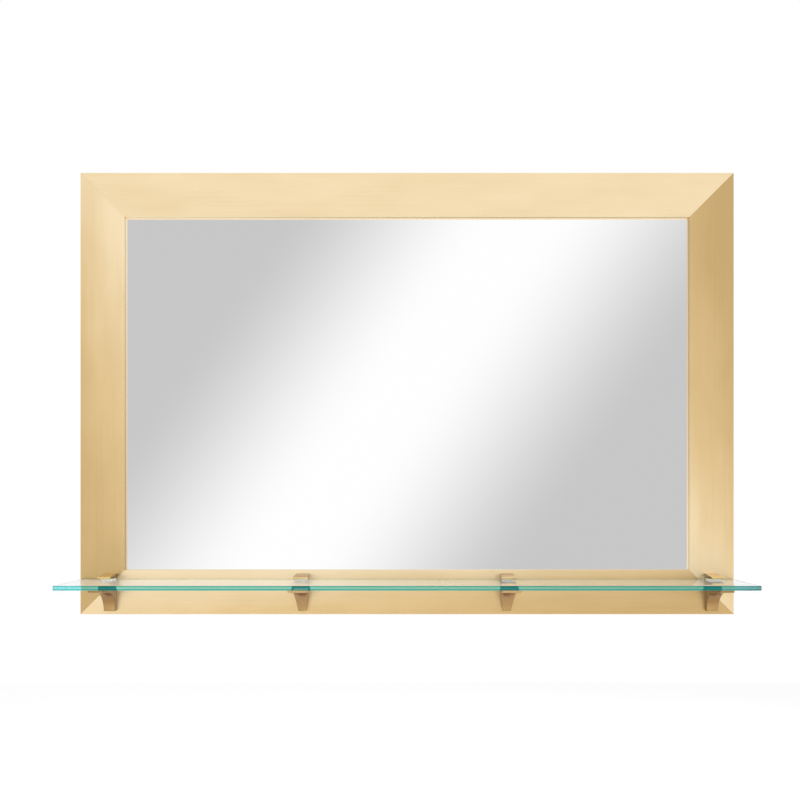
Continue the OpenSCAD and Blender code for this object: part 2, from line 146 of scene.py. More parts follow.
def mixShader(tree, factor, a, b):
    return addNode(tree, "ShaderNodeMixShader", {0: factor, 1: a.outputs[0], 2: b.outputs[0]}).outputs[0]


def stretched(tree, vector, scale):
    return addNode(tree, "ShaderNodeMapping", {"Vector": vector, "Scale": scale}).outputs[0]


def bump(tree, height, strength, distance):
    return addNode(tree, "ShaderNodeBump", {
        "Height": height, "Strength": strength, "Distance": distance,
    }).outputs[0]


def objectCoords(tree):
    return addNode(tree, "ShaderNodeTexCoord").outputs["Object"]


def axesOf(tree, vector):
    return addNode(tree, "ShaderNodeSeparateXYZ", {0: vector}).outputs


def combine(tree, x, y, z):
    return addNode(tree, "ShaderNodeCombineXYZ", {0: x, 1: y, 2: z}).outputs[0]


# helpers for meshes and pieces

def camel(node):
    first, *rest = node.split("_")
    return first + "".join(word.capitalize() for word in rest)


def newPiece(name, mesh, materials, smooth=35):
    # smooth is the angle in degrees from which an edge stays sharp
    piece = bpy.data.objects.new(name, mesh)
    scene.collection.objects.link(piece)
    kept = [face.material_index for face in mesh.polygons]  # clear() would set them all to 0
    mesh.materials.clear()
    for material in materials:
        mesh.materials.append(material)
    mesh.polygons.foreach_set("material_index", kept)
    if smooth:
        mesh.shade_smooth()
        mesh.set_sharp_from_angle(angle=math.radians(smooth))
    return piece


def addPiece(node, mesh, *finishes, body="root", smooth=35):
    # takes a CAD node's place, with the slot of its first finish
    piece = newPiece(camel(node), mesh, [finish[name] for name in finishes], smooth)
    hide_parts(node)
    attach(piece, body)


def evaluated(piece):
    # the piece with its modifiers applied, as a plain mesh
    graph = bpy.context.evaluated_depsgraph_get()
    graph.update()
    mesh = bpy.data.meshes.new_from_object(piece.evaluated_get(graph), depsgraph=graph)
    piece.modifiers.clear()
    return mesh


def meshFrom(name, points, faces, slots=None):
    mesh = bpy.data.meshes.new(name)
    mesh.from_pydata([tuple(p) for p in points], [], faces)
    if slots:
        mesh.polygons.foreach_set("material_index", slots)
    mesh.update()
    return mesh


def outward(mesh):
    bm = bmesh.new()
    bm.from_mesh(mesh)
    bmesh.ops.remove_doubles(bm, verts=bm.verts, dist=1e-7)
    bmesh.ops.recalc_face_normals(bm, faces=bm.faces)
    bm.to_mesh(mesh)
    bm.free()
    return mesh


def lathe(name, profile, segments=48, knurl=0.0):
    # profile is (radius, height) from pole to pole, turned about Z
    points, faces, rings = [], [], []
    for radius, height in profile:
        if radius < 1e-9:
            rings.append([len(points)])
            points.append((0, 0, height))
            continue
        rings.append(list(range(len(points), len(points) + segments)))
        for k in range(segments):
            turn = 2 * math.pi * k / segments
            r = radius - (knurl if k % 2 else 0)
            points.append((r * math.cos(turn), r * math.sin(turn), height))
    for low, high in zip(rings, rings[1:]):
        for k in range(segments):
            quad = [low[k % len(low)], low[(k + 1) % len(low)], high[(k + 1) % len(high)], high[k % len(high)]]
            faces.append(list(dict.fromkeys(quad)))
    return outward(meshFrom(name, points, [f for f in faces if len(f) > 2]))


def joined(name, meshes):
    bm = bmesh.new()
    for mesh in meshes:
        bm.from_mesh(mesh)
    whole = bpy.data.meshes.new(name)
    bm.to_mesh(whole)
    bm.free()
    return whole


def cutFrom(mesh, cutter):
    # boolean difference of two closed meshes
    body = newPiece("cutBody", mesh, [], 0)
    tool = newPiece("cutTool", cutter, [], 0)
    modifier = body.modifiers.new("cut", "BOOLEAN")
    modifier.operation, modifier.solver, modifier.object = "DIFFERENCE", "EXACT", tool
    cut = evaluated(body)
    bpy.data.objects.remove(body)
    bpy.data.objects.remove(tool)
    return cut


def softened(node, width, shortest=0.0012, segments=2):
    # a copy of a CAD node with its long sharp edges rounded
    flatAngle, sharpAngle = math.radians(0.5), math.radians(30)
    mesh = nodes[node].data.copy()
    bm = bmesh.new()
    bm.from_mesh(mesh)
    bmesh.ops.remove_doubles(bm, verts=bm.verts, dist=1e-6)
    bmesh.ops.dissolve_limit(bm, angle_limit=flatAngle, verts=bm.verts, edges=bm.edges)
    weight = bm.edges.layers.float.new("bevel_weight_edge")
    for edge in bm.edges:
        sharp = len(edge.link_faces) == 2 and edge.calc_face_angle() > sharpAngle
        edge[weight] = 1.0 if sharp and edge.calc_length() > shortest else 0.0
    bm.to_mesh(mesh)
    bm.free()
    piece = newPiece(node + "_copy", mesh, [], 0)
    modifier = piece.modifiers.new("rounding", "BEVEL")
    modifier.limit_method, modifier.width, modifier.segments = "WEIGHT", width, segments
    modifier.use_clamp_overlap = False
    rounded = evaluated(piece)
    bpy.data.objects.remove(piece)
    return rounded


# camera, lamps, surroundings and floor

view = {
    "away": 1.619,          # in front of the frame's face
    "height": 0.1625,       # above the frame's bottom edge
    "lens": 50.636, "sensor": 36, "shiftX": -0.008875, "shiftY": 0.12655,
    "clip": (0.05, 60),
}
cameraData = bpy.data.cameras.new("camera")
cameraData.lens, cameraData.sensor_width = view["lens"], view["sensor"]
cameraData.shift_x, cameraData.shift_y = view["shiftX"], view["shiftY"]
cameraData.clip_start, cameraData.clip_end = view["clip"]
camera = bpy.data.objects.new("camera", cameraData)
camera.location = (0, frontY - view["away"], frameLow.z + view["height"])
camera.rotation_euler = (math.radians(90), 0, 0)
scene.collection.objects.link(camera)
scene.camera = camera

lamps = {
    # place, size and power; each looks at the middle of the frame
    "keyLamp": ((-1.7, -2.3, 1.5), 1.6, 11),
    "fillLamp": ((2.1, -2.0, 0.4), 1.8, 7),
    "frontLamp": ((0.1, -2.6, -0.60), 0.9, 20),
    "topLamp": ((0.0, -0.9, 2.2), 1.4, 10),
    "backLamp": ((0.6, 2.4, 1.2), 1.8, 15),
}
target = Vector((0, frontY, frameMidZ))
for name, (place, size, power) in lamps.items():
    lampData = bpy.data.lights.new(name, "AREA")
    lampData.shape, lampData.size, lampData.energy = "DISK", size, power
    lamp = bpy.data.objects.new(name, lampData)
    lamp.location = place
    lamp.rotation_euler = (target - Vector(place)).to_track_quat("-Z", "Y").to_euler()
    lamp.visible_glossy = lamp.visible_transmission = False  # metal and glass show the surroundings instead
    scene.collection.objects.link(lamp)

surroundings = {
    "plain": 0.46,          # light on dull surfaces from all round
    "mirrorGrey": 0.577,    # darkest and brightest places that a mirror shows
    "mirrorWhite": 1.0,
    "slant": (0.9173, -0.6498),
    "rise": (-0.270, -0.085), "fall": (-0.049, 0.138),
    "repeat": (-0.52, 0.33),  # the bright band comes again beyond these
    "leastAhead": 0.02,     # keeps the slant finite at the sides
    "ahead": (-0.5, -0.2),  # how far a ray points to the front where the bands fade out
    "wallward": (0.1, 0.6),
    "behind": 0.72,         # what brushed metal shows of the wall's side
}
world = bpy.data.worlds.new("studio")
scene.world = world
world.use_nodes = True
tree = world.node_tree
tree.nodes.clear()
path = addNode(tree, "ShaderNodeLightPath").outputs
direction = axesOf(tree, addNode(tree, "ShaderNodeTexCoord").outputs["Generated"])
ahead = math2(tree, "MAXIMUM", times(tree, direction[1], -1.0), surroundings["leastAhead"])
across = math2(tree, "DIVIDE", direction[0], ahead)
upward = math2(tree, "DIVIDE", direction[2], ahead)
slanted = plus(tree, times(tree, across, surroundings["slant"][0]),
               times(tree, upward, surroundings["slant"][1]))
slanted = addNode(tree, "ShaderNodeMath", {
    0: slanted, 1: surroundings["repeat"][1], 2: surroundings["repeat"][0],
}, operation="WRAP").outputs[0]
rise = mapRange(tree, slanted, *surroundings["rise"], blend="SMOOTHSTEP")
fall = mapRange(tree, slanted, *surroundings["fall"], 1.0, 0.0, "SMOOTHSTEP")
bands = mapRange(tree, math2(tree, "MINIMUM", rise, fall), 0.0, 1.0,
                 surroundings["mirrorGrey"], surroundings["mirrorWhite"])
facing = mapRange(tree, direction[1], *surroundings["ahead"], 1.0, 0.0, "SMOOTHSTEP")
sharpGloss = times(tree, path["Is Singular Ray"], path["Is Glossy Ray"])
blurredGloss = math2(tree, "SUBTRACT", path["Is Glossy Ray"], sharpGloss)
mirrored = times(tree, sharpGloss, facing)
wallSide = mapRange(tree, direction[1], *surroundings["wallward"], 1.0, surroundings["behind"], "SMOOTHSTEP")
level = mixFloat(tree, path["Is Diffuse Ray"], 1.0, surroundings["plain"])
level = mixFloat(tree, blurredGloss, level, wallSide)
level = mixFloat(tree, mirrored, level, bands)
background = addNode(tree, "ShaderNodeBackground", {"Color": (1, 1, 1, 1), "Strength": level})
addNode(tree, "ShaderNodeOutputWorld", {"Surface": background.outputs[0]})

ground = {"level": -1.35, "half": 4.0, "pale": (0.79, 0.81), "glow": 0.56, "roughness": 0.95,
          "fibres": (40.0, 4.0)}
corners = [(-1, -1), (1, -1), (1, 1), (-1, 1)]
floorMesh = meshFrom("floor", [(x * ground["half"], y * ground["half"], ground["level"]) for x, y in corners],
                     [(0, 1, 2, 3)])
floorMaterial, tree, shader, output = newMaterial("palePaper")
path = addNode(tree, "ShaderNodeLightPath").outputs
seen = math2(tree, "MAXIMUM", path["Is Camera Ray"],
             math2(tree, "MAXIMUM", path["Is Glossy Ray"], path["Is Transmission Ray"]))
fibre = noise(tree, objectCoords(tree), *ground["fibres"])
feed(tree, shader, {
    "Base Color": mixColour(tree, fibre, *([grey] * 3 + [1] for grey in ground["pale"])),
    "Roughness": ground["roughness"], "Specular IOR Level": 0.0, "Emission Color": (1, 1, 1, 1),
    "Emission Strength": times(tree, seen, ground["glow"]),
})
# a mirror sees past the floor to the soft bands of the studio
inMirror = times(tree, path["Is Glossy Ray"], path["Is Singular Ray"])
seeThrough = addNode(tree, "ShaderNodeBsdfTransparent")
feed(tree, output, {"Surface": mixShader(tree, inMirror, shader, seeThrough)})
newPiece("floor", floorMesh, [floorMaterial], 0)
scene.view_settings.view_transform = "Standard"
print("camera, lamps and floor made")


# finishes; in each, bump is the strength and the depth of its relief,
# and a pattern is the scale of its noise, with detail and roughness after it

def brushedGold():
    look = {
        # the top of this ramp also carries the light painted into the bends, lips and the strip above the shelf
        "tones": [(0.0, "CBAB75"), (0.32, "E1C38F"), (0.64, "F6DFB5"), (0.8, "FCE6BE"), (1.0, "FFF6E4")],
        "toneShare": 0.64,  # place in the ramp of tone 1
        # scales along and across the grain, and how far each pattern shifts the tone
        "streaks": (9.0, 2400.0, 1.0), "bands": (3.0, 420.0, 1.0), "clouds": (7.0, 22.0, 1.0),
        "streakShift": 0.05, "bandShift": 0.035, "cloudShift": 0.09,
        "tint": (0.98, 0.94, 0.85, 1), "anisotropy": 0.45, "roughness": (0.26, 0.36), "bump": (0.25, 0.00002),
    }
    material, tree, shader, _ = newMaterial("brushedGold")
    grainMap = addNode(tree, "ShaderNodeUVMap", uv_map="grain").outputs[0]
    tone = addNode(tree, "ShaderNodeAttribute", attribute_name="tone").outputs["Fac"]
    streaks = noise(tree, stretched(tree, grainMap, look["streaks"]), 1.0, 3.0, 0.6)
    bands = noise(tree, stretched(tree, grainMap, look["bands"]), 1.0)
    clouds = noise(tree, stretched(tree, grainMap, look["clouds"]), 1.0)
    drift = plus(tree, swing(tree, streaks, look["streakShift"]), plus(
        tree, swing(tree, bands, look["bandShift"]), swing(tree, clouds, look["cloudShift"])))
    share = times(tree, plus(tree, tone, drift), look["toneShare"])
    feed(tree, shader, {
        "Base Color": ramp(tree, share, look["tones"]), "Metallic": 1.0,
        "Specular Tint": look["tint"], "Anisotropic": look["anisotropy"],
        "Tangent": addNode(tree, "ShaderNodeTangent", direction_type="UV_MAP", uv_map="grain").outputs[0],
        "Roughness": mapRange(tree, streaks, 0.25, 0.75, *look["roughness"]),
        "Normal": bump(tree, streaks, *look["bump"]),
    })
    return material


def satinBrass():
    # painted light and shade: lighter on the upper jaw's front and towards its tip, darker below the shelf, on
    # the sides and where it faces down, and the end brackets in lit and shaded tones of their own
    look = {
        "upperFront": "F2D28A", "upperTop": "CDAB84", "tipTop": "F4C68A", "endTop": "F0DBAE",
        # the arms in painted shade: the inner ones, and the end ones above and below their bend, darker above it
        "armFront": "A48656", "endArmFront": "987644", "endFootFront": "B08D58", "armBend": (-0.5885, -0.5835),
        "tongueTip": "CBA370", "endTongueTip": "9B7C50", "tongueTipAt": -0.104,
        "tipDepth": (-0.0535, -0.0505), "endsFrom": 0.3,
        "side": "7C6650", "under": "A07A50", "endUnder": "8E6A40",
        # how far a face has to turn up, down or aside to take the tone painted for that side
        "facesUp": (0.7, 0.95), "facesDown": (-0.9, 0.0), "facesAside": (0.5, 0.95),
        "clouds": (55.0, 3.0), "grains": (1500.0, 3.0, 0.6),
        "drift": 0.06, "glint": "FFE9BE", "glintShare": 0.08, "roughness": (0.22, 0.32), "bump": (0.2, 0.00003),
    }
    material, tree, shader, _ = newMaterial("satinBrass")
    coords = addNode(tree, "ShaderNodeTexCoord").outputs
    facing = axesOf(tree, coords["Normal"])
    across, depth, height = axesOf(tree, coords["Object"])
    drift = swing(tree, noise(tree, coords["Object"], *look["clouds"]), look["drift"])
    grains = noise(tree, coords["Object"], *look["grains"])
    atEnds = math2(tree, "GREATER_THAN", absolute(tree, across), look["endsFrom"])
    # the end arms in painted shade above their bend, lighter on the foot
    endArm = mixColour(tree, mapRange(tree, height, *look["armBend"]), look["endFootFront"], look["endArmFront"])
    arm = mixColour(tree, atEnds, look["armFront"], endArm)
    tip = mixColour(tree, atEnds, look["tongueTip"], look["endTongueTip"])
    arm = mixColour(tree, math2(tree, "LESS_THAN", depth, look["tongueTipAt"]), arm, tip)
    # painted highlight on the upper jaw's front, painted shade on the arms' fronts below the shelf
    front = mixColour(tree, math2(tree, "GREATER_THAN", height, shelfHigh.z), arm, look["upperFront"])
    # painted highlight on the top towards the tip
    top = mixColour(tree, mapRange(tree, depth, *look["tipDepth"], 1.0, 0.0), look["upperTop"], look["tipTop"])
    top = mixColour(tree, atEnds, top, look["endTop"])
    # painted shade on the faces that turn down
    under = mixColour(tree, atEnds, look["under"], look["endUnder"])

    def turned(side, limits, low=0.0, high=1.0):
        return plus(tree, mapRange(tree, side, *look[limits], low, high), drift, True)

    base = mixColour(tree, turned(facing[2], "facesUp"), front, top)
    base = mixColour(tree, turned(facing[2], "facesDown", 1.0, 0.0), base, under)
    # painted shade on the sides
    base = mixColour(tree, turned(absolute(tree, facing[0]), "facesAside"), base, look["side"])
    feed(tree, shader, {
        "Base Color": mixColour(tree, mapRange(tree, grains, *noiseCore, 0.0, look["glintShare"]),
                                base, look["glint"]),
        "Metallic": 1.0,
        "Roughness": mapRange(tree, grains, *noiseSpan, *look["roughness"]),
        "Normal": bump(tree, grains, *look["bump"]),
    })
    return material


def zincSteel():
    look = {"light": "CFD1D3", "dark": "A9ACB0", "spangles": 420.0, "fine": 2600.0,
            "warm": "CFC9A6", "warmShare": 0.35, "tints": 90.0, "tintSpan": (0.45, 0.75),
            "roughness": (0.26, 0.40), "bump": (0.15, 0.00002)}
    material, tree, shader, _ = newMaterial("zincSteel")
    coords = objectCoords(tree)
    spangle = addNode(tree, "ShaderNodeTexVoronoi", {"Vector": coords, "Scale": look["spangles"]})
    fine = noise(tree, coords, look["fine"])
    tint = noise(tree, coords, look["tints"])
    grey = axesOf(tree, spangle.outputs["Color"])[0]
    base = mixColour(tree, grey, look["dark"], look["light"])
    warmed = mapRange(tree, tint, *look["tintSpan"], 0.0, look["warmShare"])
    feed(tree, shader, {
        "Base Color": mixColour(tree, warmed, base, look["warm"]),
        "Metallic": 1.0,
        "Roughness": mapRange(tree, grey, 0.0, 1.0, *look["roughness"]),
        "Normal": bump(tree, fine, *look["bump"]),
    })
    return material


def coreBoard():
    look = {"light": "B99468", "dark": "8F6C46", "cloud": "C9A77C", "cloudShare": 0.25,
            "fleck": "6E5032", "fleckShare": 0.7, "fleckSpan": (0.66, 0.76),
            "wool": (600.0, 5.0, 0.7), "clouds": (30.0, 3.0), "flecks": 1700.0,
            "roughness": 0.85, "bump": (0.5, 0.0002)}
    material, tree, shader, _ = newMaterial("coreBoard")
    coords = objectCoords(tree)
    wool = noise(tree, coords, *look["wool"])
    clouds = noise(tree, coords, *look["clouds"])
    flecks = noise(tree, coords, look["flecks"])
    base = mixColour(tree, mapRange(tree, wool, *noiseCore), look["dark"], look["light"])
    base = mixColour(tree, mapRange(tree, clouds, *noiseSpan, 0.0, look["cloudShare"]), base, look["cloud"])
    flecked = mapRange(tree, flecks, *look["fleckSpan"], 0.0, look["fleckShare"])
    base = mixColour(tree, flecked, base, look["fleck"])
    feed(tree, shader, {
        "Base Color": base, "Roughness": look["roughness"], "Normal": bump(tree, wool, *look["bump"]),
    })
    return material


def hardboard():
    # smooth fibres under the dents of the screen it was pressed on, with painted shade in the dents
    look = {"light": "8A6240", "dark": "5F4028", "fibreShare": 0.7, "cloudShare": 0.3,
            "dent": "3F2A1A", "dentShare": 0.35, "dentSpan": (-1.0, 0.2), "mesh": 0.0014,
            "fibres": (260.0, 5.0, 0.7), "clouds": (9.0, 3.0), "fibreRelief": 0.6,
            "roughness": 0.7, "bump": (0.5, 0.0002)}
    material, tree, shader, _ = newMaterial("hardboard")
    coords = objectCoords(tree)
    axes = axesOf(tree, coords)
    waves = [math2(tree, "SINE", times(tree, axes[k], 2 * math.pi / look["mesh"]), 0.0) for k in (0, 2)]
    screen = times(tree, *waves)
    fibres = noise(tree, coords, *look["fibres"])
    clouds = noise(tree, coords, *look["clouds"])
    share = plus(tree, mapRange(tree, fibres, *noiseSpan, 0.0, look["fibreShare"]),
                 mapRange(tree, clouds, *noiseSpan, 0.0, look["cloudShare"]))
    base = mixColour(tree, share, look["dark"], look["light"])
    # painted shade in the screen's dents
    paintedDentShade = mapRange(tree, screen, *look["dentSpan"], look["dentShare"], 0.0)
    height = plus(tree, screen, mapRange(tree, fibres, 0.0, 1.0, 0.0, look["fibreRelief"]))
    feed(tree, shader, {
        "Base Color": mixColour(tree, paintedDentShade, base, look["dent"]),
        "Roughness": look["roughness"], "Normal": bump(tree, height, *look["bump"]),
    })
    return material


def silvering():
    # polished glass with silver behind it
    look = {"hazy": (0.985, 0.988, 0.987, 1), "clear": (0.998, 0.999, 0.999, 1), "haze": 1.6}
    material, tree, shader, _ = newMaterial("silvering")
    haze = noise(tree, objectCoords(tree), look["haze"])
    feed(tree, shader, {
        "Base Color": mixColour(tree, haze, look["hazy"], look["clear"]), "Metallic": 1.0, "Roughness": 0.0,
    })
    return material


def mirrorEdge():
    look = {"dark": "4F8F7C", "light": "9CCFBE", "ripple": (60.0, 900.0, 60.0), "roughness": 0.15}
    material, tree, shader, _ = newMaterial("mirrorEdge")
    ripple = noise(tree, stretched(tree, objectCoords(tree), look["ripple"]), 1.0)
    feed(tree, shader, {
        "Base Color": mixColour(tree, ripple, look["dark"], look["light"]), "Roughness": look["roughness"],
    })
    return material


def mirrorPaint():
    look = {"dark": "6F757B", "light": "7F858B", "orangePeel": (300.0, 3.0), "roughness": 0.55,
            "bump": (0.2, 0.0002)}
    material, tree, shader, _ = newMaterial("mirrorPaint")
    orange = noise(tree, objectCoords(tree), *look["orangePeel"])
    feed(tree, shader, {
        "Base Color": mixColour(tree, orange, look["dark"], look["light"]),
        "Roughness": look["roughness"], "Normal": bump(tree, orange, *look["bump"]),
    })
    return material


def silicone(name, carried):
    # the second argument is a glow painted into the silicone: light of its own, though it is no lamp
    look = {"dark": "F2F2EC", "light": "FCFCF8", "carriedTint": (1.0, 0.86, 0.66, 1), "roughness": 0.42,
            "milky": 0.7, "milkDepth": 0.003, "clouds": (240.0, 3.0), "fine": 1400.0, "bump": (0.12, 0.00005)}
    material, tree, shader, _ = newMaterial(name)
    clouds = noise(tree, objectCoords(tree), *look["clouds"])
    fine = noise(tree, objectCoords(tree), look["fine"])
    feed(tree, shader, {
        "Base Color": mixColour(tree, clouds, look["dark"], look["light"]),
        "Emission Color": look["carriedTint"], "Emission Strength": carried, "Roughness": look["roughness"],
        "Subsurface Weight": look["milky"], "Subsurface Scale": look["milkDepth"], "Subsurface Radius": (1, 1, 1),
        "Normal": bump(tree, fine, *look["bump"]),
    })
    return material


glass = {"ior": 1.52, "shadow": (0.90, 0.97, 0.95, 1), "tint": (0.30, 0.93, 0.83, 1), "density": 4.0}


def glassBody(tree, output, shader, clearness):
    # lets lamps through and tints what is seen through its depth
    feed(tree, shader, {"Transmission Weight": clearness, "IOR": glass["ior"]})
    inShadow = addNode(tree, "ShaderNodeLightPath").outputs["Is Shadow Ray"]
    clear = addNode(tree, "ShaderNodeBsdfTransparent", {"Color": glass["shadow"]})
    volume = addNode(tree, "ShaderNodeVolumeAbsorption", {"Color": glass["tint"], "Density": glass["density"]})
    feed(tree, output, {"Surface": mixShader(tree, inShadow, shader, clear), "Volume": volume.outputs[0]})


def shelfGlass():
    look = {
        # the glass is tinted darker to the right, painted shade
        "leftTint": (0.99, 1.0, 0.995, 1), "rightTint": (0.905, 0.94, 0.945, 1), "tintFade": (-0.10, 0.20),
        "haze": 0.1, "hazeScale": 14.0,
        # a painted glow stands in for the room's light lying on it, stronger to the left
        "carried": [(0.0, "FFFFFF"), (0.22, "F4F4F0"), (0.33, "D8D8D4"), (0.45, "909090"), (0.55, "404040"),
                    (0.62, "000000"), (0.90, "000000"), (0.97, "303030")],
        "carriedStrength": 0.09,
        "coat": (1.0, 0.10), "coatFade": (-0.28, 0.16), "coatRoughness": 0.32,
        "sheen": 0.27, "sheenRoughness": 0.4,
    }
    material, tree, shader, output = newMaterial("shelfGlass")
    across = axesOf(tree, objectCoords(tree))[0]
    haze = swing(tree, noise(tree, objectCoords(tree), look["hazeScale"]), look["haze"])
    fade = plus(tree, mapRange(tree, across, *look["tintFade"], blend="SMOOTHSTEP"), haze, True)
    along = mapRange(tree, across, frameLow.x, frameHigh.x)
    feed(tree, shader, {
        "Base Color": mixColour(tree, fade, look["leftTint"], look["rightTint"]), "Roughness": 0.0,
        "Emission Color": ramp(tree, along, look["carried"]), "Emission Strength": look["carriedStrength"],
        "Coat Weight": mapRange(tree, across, *look["coatFade"], *look["coat"]),
        "Coat Roughness": look["coatRoughness"],
        "Sheen Weight": look["sheen"], "Sheen Roughness": look["sheenRoughness"],
    })
    glassBody(tree, output, shader, 1.0)
    return material


def shelfEdge():
    # polished edge, its teal with painted light and shade on it: lighter in the middle, dimmer to the right, with
    # painted dark lines along it, and painted shade where the clamps keep light out
    look = {
        "along": [
            (0.0, "9CF3F0"), (0.039, "9DF4F2"), (0.042, "74BEA2"), (0.062, "7CC4AA"), (0.093, "92D6BE"),
            (0.21, "8CD2B8"), (0.49, "82C7AB"), (0.716, "80BFA4"), (0.913, "6EB9A0"), (0.96, "70B4A0"),
            (0.966, "74B8B4"), (1.0, "74A8A4"),
        ],
        # share of the painted shade lines from the bottom arris to the top one
        "lines": [(0.0, "606060"), (0.10, "C0C0C0"), (0.20, "FFFFFF"), (0.31, "F0F0F0"), (0.40, "787878"),
                  (0.50, "282828"), (0.66, "080808"), (0.78, "D0D0D0"), (0.84, "FFFFFF"), (1.0, "FFFFFF")],
        "lineTint": (0.28, 0.62, 0.68, 1), "lineFade": (-0.10, -0.05), "backLines": 0.3,
        "ripple": "A9E3D2", "rippleShare": 0.10, "rippleStretch": (30.0, 30.0, 900.0),
        # painted shade from bottom to top where a clamp stands behind it; the lighter ones, painted light, in the
        # middle of one clamp
        "clamped": [(0.0, "44887A"), (0.24, "086C68"), (0.50, "248A7E"), (0.80, "006C6C"), (1.0, "206C68")],
        "clampedLight": [(0.0, "5C9C80"), (0.24, "56988A"), (0.50, "4A9A8C"), (0.66, "207C74"), (0.80, "006C6C"),
                         (1.0, "206C68")],
        "lightAt": "left_inner", "lightReach": (0.0085, 0.0105),
        "clampPlaces": {"left_end": -0.3969, "left_inner": -0.1407, "right_inner": 0.1355, "right_end": 0.4044},
        "clampHalf": (0.0130, 0.0117), "clampBlur": 0.0006, "frontDepth": 0.001,
        "roughness": 0.25, "gloss": 0.1, "clearness": 0.10,
    }
    material, tree, shader, output = newMaterial("shelfEdge")
    coords = objectCoords(tree)
    across, depth, height = axesOf(tree, coords)

    def distance(bracket):
        return absolute(tree, math2(tree, "SUBTRACT", across, look["clampPlaces"][bracket]))

    rise = mapRange(tree, height, shelfLow.z, shelfHigh.z)
    base = ramp(tree, mapRange(tree, across, frameLow.x, frameHigh.x), look["along"])
    lines = times(tree, ramp(tree, rise, look["lines"]),
                  mapRange(tree, depth, *look["lineFade"], 1.0, look["backLines"]))
    base = mixColour(tree, lines, base, look["lineTint"], "MULTIPLY")
    ripple = noise(tree, stretched(tree, coords, look["rippleStretch"]), 1.0, 3.0)
    base = mixColour(tree, mapRange(tree, ripple, *noiseCore, 0.0, look["rippleShare"]), base, look["ripple"])
    nearest = 1.0
    for bracket in look["clampPlaces"]:
        nearest = math2(tree, "MINIMUM", nearest, distance(bracket))
    beyond = math2(tree, "SUBTRACT", nearest, mapRange(tree, rise, 0.0, 1.0, *look["clampHalf"]))
    atFront = math2(tree, "LESS_THAN", depth, shelfLow.y + look["frontDepth"])
    blur = look["clampBlur"]
    # painted shade on the front face where a clamp stands behind it
    shade = times(tree, mapRange(tree, beyond, -blur, blur, 1.0, 0.0), atFront)
    lit = mapRange(tree, distance(look["lightAt"]), *look["lightReach"], 1.0, 0.0)
    dark = mixColour(tree, lit, ramp(tree, rise, look["clamped"]), ramp(tree, rise, look["clampedLight"]))
    feed(tree, shader, {
        "Base Color": mixColour(tree, shade, base, dark),
        "Roughness": look["roughness"], "Specular IOR Level": look["gloss"],
    })
    glassBody(tree, output, shader, look["clearness"])
    return material


finish = {
    "gold": brushedGold(), "brass": satinBrass(), "zinc": zincSteel(), "core": coreBoard(),
    "board": hardboard(), "silver": silvering(), "mirrorEdge": mirrorEdge(), "mirrorPaint": mirrorPaint(),
    # the pads have a painted glow, the bumpers none
    "pads": silicone("padSilicone", carried=0.18), "bumpers": silicone("bumperSilicone", carried=0.0),
    "shelf": shelfGlass(), "shelfEdge": shelfEdge(),
}
print("finishes made")


# Geometry Nodes

def newTree(name, inputs):
    # inputs are label to default, and None stands for an object
    tree = bpy.data.node_groups.new(name, "GeometryNodeTree")
    tree.interface.new_socket("Geometry", in_out="INPUT", socket_type="NodeSocketGeometry")
    kinds = {float: "NodeSocketFloat", int: "NodeSocketInt", type(None): "NodeSocketObject"}
    for label, default in inputs.items():
        socket = tree.interface.new_socket(label, in_out="INPUT", socket_type=kinds[type(default)])
        if default is not None:
            socket.default_value = default
    tree.interface.new_socket("Material", in_out="INPUT", socket_type="NodeSocketMaterial")
    tree.interface.new_socket("Geometry", in_out="OUTPUT", socket_type="NodeSocketGeometry")
    return tree, addNode(tree, "NodeGroupInput").outputs


def finishTree(tree, geometry, material):
    real = addNode(tree, "GeometryNodeRealizeInstances", {0: geometry}).outputs[0]
    painted = addNode(tree, "GeometryNodeSetMaterial", {"Geometry": real, "Material": material}).outputs[0]
    addNode(tree, "NodeGroupOutput", {0: painted})


def grown(name, seedMesh, tree, values):
    # runs a tree on a mesh and gives back the plain result
    holder = bpy.data.objects.new(name, seedMesh)
    scene.collection.objects.link(holder)
    modifier = holder.modifiers.new(tree.name, "NODES")
    modifier.node_group = tree
    for item in tree.interface.items_tree:
        if item.in_out == "INPUT" and item.name in values:
            modifier[item.identifier] = values[item.name]
    mesh = evaluated(holder)
    bpy.data.objects.remove(holder)
    mesh.name = name
    return mesh


